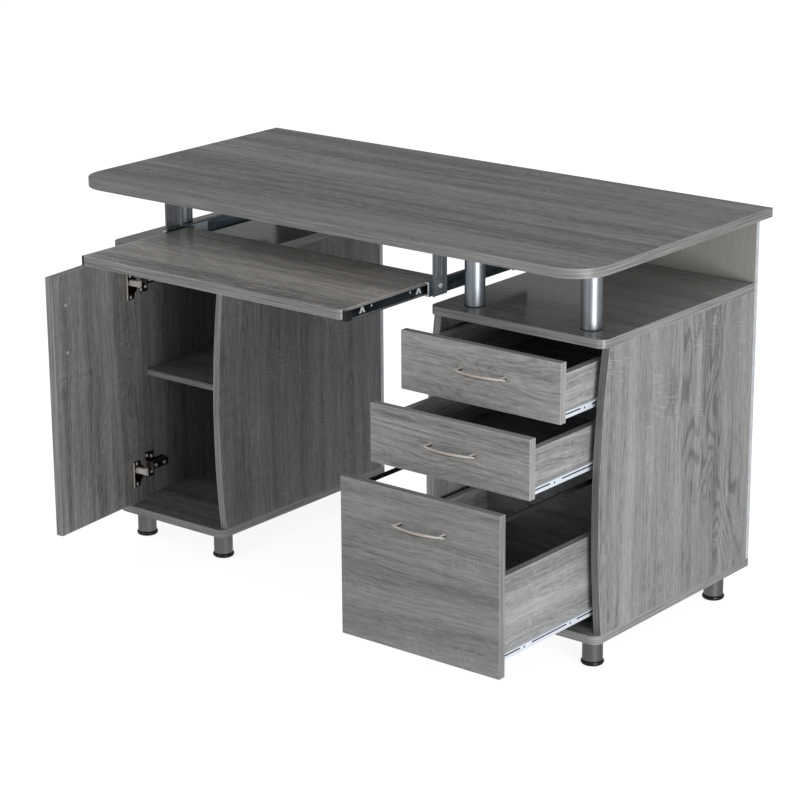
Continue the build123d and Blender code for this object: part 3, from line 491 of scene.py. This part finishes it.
def rounded(low_a, high_a, low_b, high_b, corner, count=4):
    """A rectangle's outline with rounded corners."""
    outline = []
    corners = ((high_a - corner, low_b + corner, -90), (high_a - corner, high_b - corner, 0),
               (low_a + corner, high_b - corner, 90), (low_a + corner, low_b + corner, 180))
    for a, b, start in corners:
        for i in range(count + 1):
            t = math.radians(start + 90 * i / count)
            outline.append((a + corner * math.cos(t), b + corner * math.sin(t)))
    return outline


def cross(radius, half_width):
    """The outline of a cross recess in a screw's head."""
    r, w = radius, half_width
    return [(w, -r), (w, -w), (r, -w), (r, w), (w, w), (w, r),
            (-w, r), (-w, w), (-r, w), (-r, -w), (-w, -w), (-w, -r)]


def ring(bm, outer, inner, origin, across, up, thick, count=32):
    """A flat ring with a rounded upper edge."""
    across, up, origin = Vector(across), Vector(up), Vector(origin)
    normal = across.cross(up)
    ease = (outer - inner) / 4
    section = ((outer, 0.0), (outer, thick - ease), (outer - ease, thick),
               (inner + ease, thick), (inner, thick - ease), (inner, 0.0))
    loops = []
    for i in range(count):
        t = 2 * math.pi * i / count
        spoke = across * math.cos(t) + up * math.sin(t)
        loops.append([bm.verts.new(origin + spoke * r + normal * h) for r, h in section])
    for i in range(count):
        here, after = loops[i], loops[(i + 1) % count]
        for k in range(len(section)):
            m = (k + 1) % len(section)
            bm.faces.new((here[k], after[k], after[m], here[m]))


def dome(bm, radius, height, origin, across, up, count=20):
    """A pan screw head."""
    across, up, origin = Vector(across), Vector(up), Vector(origin)
    normal = across.cross(up)
    profile = ((1.0, 0.0), (1.0, 0.35), (0.88, 0.72), (0.62, 0.94), (0.30, 1.0))
    loops = []
    for share, rise in profile:
        loops.append([bm.verts.new(origin + across * (radius * share * math.cos(2 * math.pi * i / count))
                                   + up * (radius * share * math.sin(2 * math.pi * i / count))
                                   + normal * (height * rise)) for i in range(count)])
    for low, high in zip(loops, loops[1:]):
        for i in range(count):
            j = (i + 1) % count
            bm.faces.new((low[i], low[j], high[j], high[i]))
    bm.faces.new(loops[-1])
    bm.faces.new(list(reversed(loops[0])))


def ridge(bm, origin, along, across, length, half_width, height, steps=12, arc=6):
    """A pressed rib: a half-round ridge whose two ends fade into the sheet."""
    along, across, origin = Vector(along), Vector(across), Vector(origin)
    normal = across.cross(along)
    rows = []
    for i in range(steps + 1):
        t = i / steps
        swell = min(1.0, 4 * t, 4 * (1 - t))
        row = []
        for k in range(arc + 1):
            angle = math.pi * k / arc
            row.append(bm.verts.new(origin + along * (length * t) - across * (half_width * math.cos(angle))
                                    + normal * (height * swell * math.sin(angle))))
        rows.append(row)
    for low, high in zip(rows, rows[1:]):
        for k in range(arc):
            bm.faces.new((low[k], low[k + 1], high[k + 1], high[k]))


def add(name, bm, body, material, bevel=0.0):
    """Turn a bmesh into a visible piece that rides on a CAD body."""
    mesh = bpy.data.meshes.new(name)
    bmesh.ops.recalc_face_normals(bm, faces=bm.faces)
    bm.to_mesh(mesh)
    bm.free()
    mesh.materials.append(material)
    piece = bpy.data.objects.new(name, mesh)
    SCENE.collection.objects.link(piece)
    if bevel:
        modifier = piece.modifiers.new("edge", "BEVEL")
        modifier.width = bevel
        modifier.segments = 2
        modifier.limit_method = "ANGLE"
    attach(piece, body)


RIGHT, BACK_WAY, UP = Vector((1, 0, 0)), Vector((0, 1, 0)), Vector((0, 0, 1))
SHEET = 0.0012  # steel of the drawer rails and the tray's slides
SINK = 0.00005  # a thin piece starts this far inside the face it lies on
RECESS_THICK = 0.00015
CUT_OUT_THICK = 0.0003
FOLD_THICK = 0.0002
END_THICK = 0.0007
# dark plates that paint the shade inside screw recesses and at the gaps around the posts' ends
PAINTED_RECESS_SHADE = coated("painted_recess_shade", rgb(30, 33, 38), 0.55, variation=0.3, seed=21.0)
SLOT_SHADE = coated("slot_shade", rgb(66, 74, 86), 0.50, variation=0.25, seed=22.0)
CUT_OUT = metal("cut_out_zinc", rgb(232, 234, 236), 0.34, seed=23.0, metallic=0.30)
LIP_ZINC = metal("lip_zinc", rgb(236, 238, 236), 0.30, brush_axis=1, seed=24.0, metallic=0.40)

# slots and holes pressed in the drawer rails, both sides
SLOT_LINE = 0.0078  # above the rail's lower edge
SLOT_HALF = 0.0014
RAIL_SLOTS = ((0.006, 0.052), (0.092, 0.105), (0.228, 0.092))  # start and length
RAIL_HOLES = (0.070, 0.208, 0.336)
HOLE_RADIUS, HOLE_DROP = 0.0021, 0.0012
for number in (1, 2, 3):
    side_low, side_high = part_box(f"drawer_{number}_sides")
    rail_low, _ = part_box(f"drawer_{number}_rails")
    slots = bmesh.new()
    for face, outward in ((side_high.x + SHEET, 1), (side_low.x - SHEET, -1)):
        along = BACK_WAY * outward
        origin = Vector((face - outward * SINK, side_low.y, rail_low.z + SLOT_LINE))
        for start, length in RAIL_SLOTS:
            outline = stadium(start, 0, length, SLOT_HALF)
            plate(slots, [(a * outward, b) for a, b in outline], origin, along, UP, RECESS_THICK)
        for spot in RAIL_HOLES:
            plate(slots, disc(HOLE_RADIUS, spot * outward, -HOLE_DROP), origin, along, UP, RECESS_THICK)
    add(f"drawer_{number}_rail_slots", slots, f"drawer_{number}", SLOT_SHADE)

# tray slides: cut-outs, holes and lips on the moving member, notches and end faces on the fixed one
tray_low, tray_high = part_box("keyboard_tray")
inner_low, inner_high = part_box("tray_inner_rails")
outer_low, outer_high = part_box("tray_outer_rails")
TRAY_EDGES = ((tray_high.x, 1), (tray_low.x, -1))  # where the tray ends, and which way is outward
CHEVRON = [(-0.0085, 0.0), (-0.0025, 0.0), (-0.0012, 0.0040), (0.0012, 0.0040),
           (0.0025, 0.0), (0.0085, 0.0), (0.0016, 0.0122), (-0.0016, 0.0122)]
SLIT = rounded(-0.0016, 0.0016, 0, 0.0052, 0.0010)
# where each cut-out is, along the slide and up it, and its outline
CUT_OUTS = ((0.050, 0.0042, CHEVRON), (0.209, 0.0042, CHEVRON), (0.076, 0.0095, SLIT), (0.185, 0.0095, SLIT))
tall = outer_high.z - outer_low.z
END_LIP, END_WEB, END_DEEP, END_FOLD = 0.0040, 0.0096, 0.0127, 0.0028
END_FACE = [(END_LIP, 0), (END_DEEP, 0), (END_DEEP, tall), (END_LIP, tall), (END_LIP, tall - END_FOLD),
            (END_WEB, tall - END_FOLD), (END_WEB, END_FOLD), (END_LIP, END_FOLD)]
LIP_FROM, LIP_TO, LIP_OUT = 0.012, 0.226, 0.0080
LIP_STARTS = ((inner_high.z, 0.0002), (inner_low.z + SHEET, 0.0013))  # height, and how far out it starts
NOTCH_COUNT, NOTCH_FROM, NOTCH_STEP, NOTCH_LONG = 13, 0.006, 0.0095, 0.0030
NOTCH_IN, NOTCH_OUT = 0.0052, 0.0108


def fold_strip(bm, edge, near, far, low_y, high_y, z):
    """A flat strip on a slide's folded edge, from near to far out from the tray."""
    edge_x, outward = edge
    low_x, high_x = sorted((edge_x + outward * near, edge_x + outward * far))
    outline = [(low_x, low_y), (high_x, low_y), (high_x, high_y), (low_x, high_y)]
    plate(bm, outline, (0, 0, z - SINK), RIGHT, BACK_WAY, FOLD_THICK)


marks, ends, lips, notches = bmesh.new(), bmesh.new(), bmesh.new(), bmesh.new()
for edge in TRAY_EDGES:
    edge_x, outward = edge
    web = Vector((edge_x + outward * (SHEET - SINK), inner_low.y, inner_low.z))
    for spot, rise, outline in CUT_OUTS:
        plate(marks, [(outward * spot + a, rise + b) for a, b in outline],
              web, BACK_WAY * outward, UP, CUT_OUT_THICK)
    plate(ends, [(outward * a, b) for a, b in END_FACE],
          Vector((edge_x, outer_low.y + SINK, outer_low.z)), RIGHT, UP, END_THICK)
    for z, near in LIP_STARTS:
        fold_strip(lips, edge, near, LIP_OUT, inner_low.y + LIP_FROM, inner_low.y + LIP_TO, z)
    for step in range(NOTCH_COUNT):
        start = outer_low.y + NOTCH_FROM + step * NOTCH_STEP
        fold_strip(notches, edge, NOTCH_IN, NOTCH_OUT, start, start + NOTCH_LONG, outer_high.z)
add("slide_cut_outs", marks, "tray", CUT_OUT)
add("slide_lips", lips, "tray", LIP_ZINC)
add("slide_notches", notches, "frame", CUT_OUT)
add("slide_end_faces", ends, "frame", CUT_OUT, bevel=0.0002)

# pressed ribs on both faces of the tray's brackets
bracket_low, bracket_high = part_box("tray_brackets")
BRACKET_WIDTH = 0.038
BRACKET_OUTER, BRACKET_INNER = 0.0147, 0.0127  # the hanging sheet's faces, out from the tray
BRACKET_FRONTS = (bracket_low.y, bracket_high.y - BRACKET_WIDTH)
RIB_OFFSETS = (0.012, 0.026)
RIB_FOOT, RIB_LONG, RIB_HALF, RIB_HIGH = 0.032, 0.056, 0.0022, 0.0009
ribs = bmesh.new()
for edge_x, outward in TRAY_EDGES:
    for front in BRACKET_FRONTS:
        for offset in RIB_OFFSETS:
            for depth, facing in ((BRACKET_OUTER, outward), (BRACKET_INNER, -outward)):
                foot = Vector((edge_x + outward * depth, front + offset, bracket_low.z + RIB_FOOT))
                ridge(ribs, foot, UP, BACK_WAY * facing, RIB_LONG, RIB_HALF, RIB_HIGH)
add("bracket_ribs", ribs, "frame", BRACKET_STEEL)

# driver recesses in the bracket screws and the hinge arms' screws
# each recess is a dark plate on the screw head: painted shade
frame_recesses = bmesh.new()
door_recesses = bmesh.new()
screw_low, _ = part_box("bracket_screws")
SCREW_HEAD, SCREW_HEAD_HEIGHT = 0.0045, 0.0024
for edge_x, outward in TRAY_EDGES:
    face_x = edge_x + outward * (BRACKET_OUTER + SCREW_HEAD_HEIGHT - SINK)
    for front in BRACKET_FRONTS:
        head = Vector((face_x, front + BRACKET_WIDTH / 2, screw_low.z + SCREW_HEAD))
        plate(frame_recesses, cross(0.0016, 0.0004), head, BACK_WAY * outward, UP, RECESS_THICK)
arm_low, arm_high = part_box("hinge_screws")
ARM_SCREW = 0.0034
HINGES = (arm_low.z + ARM_SCREW, arm_high.z - ARM_SCREW)
for y in (arm_low.y + ARM_SCREW, arm_high.y - ARM_SCREW):
    for z in HINGES:
        plate(frame_recesses, cross(0.0020, 0.0005), (arm_high.x - SINK, y, z), BACK_WAY, UP, RECESS_THICK)
add("frame_screw_recesses", frame_recesses, "frame", PAINTED_RECESS_SHADE)

# hinge mounts: bright screw heads on the wings
mount_low, mount_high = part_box("hinge_base_plates")
WING_SINK = 0.0004  # the heads' undersides are this far inside the wings
WING_SCREWS = ((0.006, 0.021), (0.019, 0.017))  # from the wing's front, and above or below its middle
WING_HEAD, WING_HEAD_HEIGHT = 0.0036, 0.0016
heads = bmesh.new()
for z in HINGES:
    for inset, rise in WING_SCREWS:
        for side in (1, -1):
            spot = (mount_high.x - WING_SINK, mount_low.y + inset, z + side * rise)
            dome(heads, WING_HEAD, WING_HEAD_HEIGHT, spot, BACK_WAY, UP)
add("hinge_mount_screws", heads, "frame", SCREW_STEEL)

# door: cup rims, flange beads and screws, and the handle screws' recesses
PIVOT = Vector(next(joint["pos_m"] for joint in frame["joints"] if joint["name"] == "door_hinge"))
DOOR_ALONG = Vector((math.cos(DOOR_TURN), -math.sin(DOOR_TURN), 0))
DOOR_IN = Vector((-DOOR_ALONG.y, DOOR_ALONG.x, 0))
INNER_FACE = 0.0223  # the door's inner face, in from the hinge axis
FLANGE = 0.0008
CUP_ALONG, CUP_OUTER, CUP_INNER, CUP_RIM = 0.0039, 0.0175, 0.0154, 0.0014
CUP_SCREW_ALONG, CUP_SCREW_RISE, CUP_HEAD, CUP_HEAD_HEIGHT = 0.0100, 0.0218, 0.0032, 0.0014
BEAD = rounded(-0.0220, -0.0192, -0.0262, 0.0262, 0.0012)
BEAD_THICK = 0.0009
HANDLE_ALONG, HANDLE_SCREW, HANDLE_HEAD_HEIGHT = 0.2114, 0.0032, 0.0018


def on_door(along, inward, z):
    """A point of the open door: along it from the hinge axis, in through it, and its height."""
    return Vector((PIVOT.x, PIVOT.y, 0)) + DOOR_ALONG * along + DOOR_IN * inward + UP * z


rims, beads, cup_screws = bmesh.new(), bmesh.new(), bmesh.new()
for z in HINGES:
    ring(rims, CUP_OUTER, CUP_INNER, on_door(CUP_ALONG, INNER_FACE, z), -DOOR_ALONG, UP, CUP_RIM)
    plate(beads, BEAD, on_door(0, INNER_FACE + FLANGE - SINK, z), -DOOR_ALONG, UP, BEAD_THICK)
    for side in (1, -1):
        spot = on_door(CUP_SCREW_ALONG, INNER_FACE + FLANGE - SINK, z + side * CUP_SCREW_RISE)
        dome(cup_screws, CUP_HEAD, CUP_HEAD_HEIGHT, spot, -DOOR_ALONG, UP)
        # a dark plate painted as the shade in each cup screw's recess
        recess = spot + DOOR_IN * CUP_HEAD_HEIGHT
        plate(door_recesses, cross(0.0019, 0.0005), recess, -DOOR_ALONG, UP, RECESS_THICK)
add("hinge_cup_rims", rims, "door", HINGE_DARK)
add("hinge_flange_beads", beads, "door", HINGE_STEEL, bevel=0.0003)
add("hinge_cup_screws", cup_screws, "door", SCREW_STEEL)
knob_low, knob_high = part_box("door_handle_screws")
# painted shade for the handle screws' recesses
for z in (knob_low.z + HANDLE_SCREW, knob_high.z - HANDLE_SCREW):
    recess = on_door(HANDLE_ALONG, INNER_FACE + HANDLE_HEAD_HEIGHT - SINK, z)
    plate(door_recesses, cross(0.0012, 0.0003), recess, -DOOR_ALONG, UP, RECESS_THICK)
add("door_screw_recesses", door_recesses, "door", PAINTED_RECESS_SHADE)

# dark collars where the round posts meet the boards: painted shadow for the shadow gap there
posts_low, posts_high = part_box("support_posts")
POST = 0.019
MIDDLE_POST_X = 0.2735
COLLAR = 0.0018
collars = bmesh.new()
for x in (posts_low.x + POST, MIDDLE_POST_X, posts_high.x - POST):
    for z in (posts_low.z, posts_high.z - COLLAR):
        spot = (x, posts_low.y + POST, z)
        ring(collars, POST + 0.0005, POST - 0.0004, spot, RIGHT, BACK_WAY, COLLAR, count=48)
add("post_collars", collars, "frame", PAINTED_RECESS_SHADE)


# ---------------------------------------------------------------- floor, light and camera
FLOOR_REACH = 80.0
CLIP_END = 200


def stage_floor():
    """A white floor that only the camera sees."""
    mesh = bpy.data.meshes.new("studio_floor")
    corners = [(x * FLOOR_REACH, y * FLOOR_REACH, 0) for x, y in ((-1, -1), (1, -1), (1, 1), (-1, 1))]
    mesh.from_pydata(corners, [], [(0, 1, 2, 3)])
    floor = bpy.data.objects.new("studio_floor", mesh)
    SCENE.collection.objects.link(floor)
    s = Shader("studio_floor")
    s.bsdf.inputs["Base Color"].default_value = (0.62, 0.62, 0.62, 1)
    s.bsdf.inputs["Roughness"].default_value = 0.9
    s.bsdf.inputs["Specular IOR Level"].default_value = 0.1
    s.bsdf.inputs["Emission Color"].default_value = (1, 1, 1, 1)
    s.bsdf.inputs["Emission Strength"].default_value = 0.84
    s.material.cycles.emission_sampling = "NONE"
    mesh.materials.append(s.material)
    floor.visible_diffuse = False
    floor.visible_glossy = False


def softbox(name, place, target, width, height, power):
    """A rectangular lamp at place, aimed at target."""
    light = bpy.data.lights.new(name, "AREA")
    light.shape = "RECTANGLE"
    light.size = width
    light.size_y = height
    light.energy = power
    lamp = bpy.data.objects.new(name, light)
    SCENE.collection.objects.link(lamp)
    lamp.location = place
    lamp.rotation_euler = (Vector(target) - Vector(place)).to_track_quat("-Z", "Y").to_euler()


stage_floor()
softbox("key", (2.45, -1.15, 0.36), (0.35, -0.1, 0.34), 1.2, 0.8, 30)
softbox("fill", (-0.6, -3.6, 1.0), (0, 0, 0.4), 2.2, 1.4, 14)

world = bpy.data.worlds.new("studio")
SCENE.world = world
world.use_nodes = True
background = world.node_tree.nodes["Background"]
background.inputs[0].default_value = (0.98, 0.99, 1.0, 1)
background.inputs[1].default_value = 0.40

VIEW_AZIMUTH = 38.754
VIEW_ELEVATION = 17.362
VIEW_ROLL = -0.005927
VIEW_TARGET = Vector((0.044104, -0.099832, 0.380))
VIEW_DISTANCE = 5.134726
SENSOR = 36  # mm
LENS = 121.067235  # mm

azimuth = math.radians(VIEW_AZIMUTH)
elevation = math.radians(VIEW_ELEVATION)
back = Vector((math.sin(azimuth) * math.cos(elevation),
               -math.cos(azimuth) * math.cos(elevation),
               math.sin(elevation)))
right = (-back).cross(UP).normalized()
up = right.cross(-back)
tilted_right = math.cos(VIEW_ROLL) * right + math.sin(VIEW_ROLL) * up
tilted_up = -math.sin(VIEW_ROLL) * right + math.cos(VIEW_ROLL) * up
place = VIEW_TARGET + back * VIEW_DISTANCE
camera_data = bpy.data.cameras.new("camera")
camera_data.lens = LENS
camera_data.sensor_width = SENSOR
camera_data.clip_end = CLIP_END
camera = bpy.data.objects.new("camera", camera_data)
SCENE.collection.objects.link(camera)
camera.matrix_world = Matrix((
    (tilted_right.x, tilted_up.x, back.x, place.x),
    (tilted_right.y, tilted_up.y, back.y, place.y),
    (tilted_right.z, tilted_up.z, back.z, place.z),
    (0, 0, 0, 1),
))
SCENE.camera = camera
SCENE.view_settings.view_transform = "Standard"
SCENE.view_settings.look = "None"
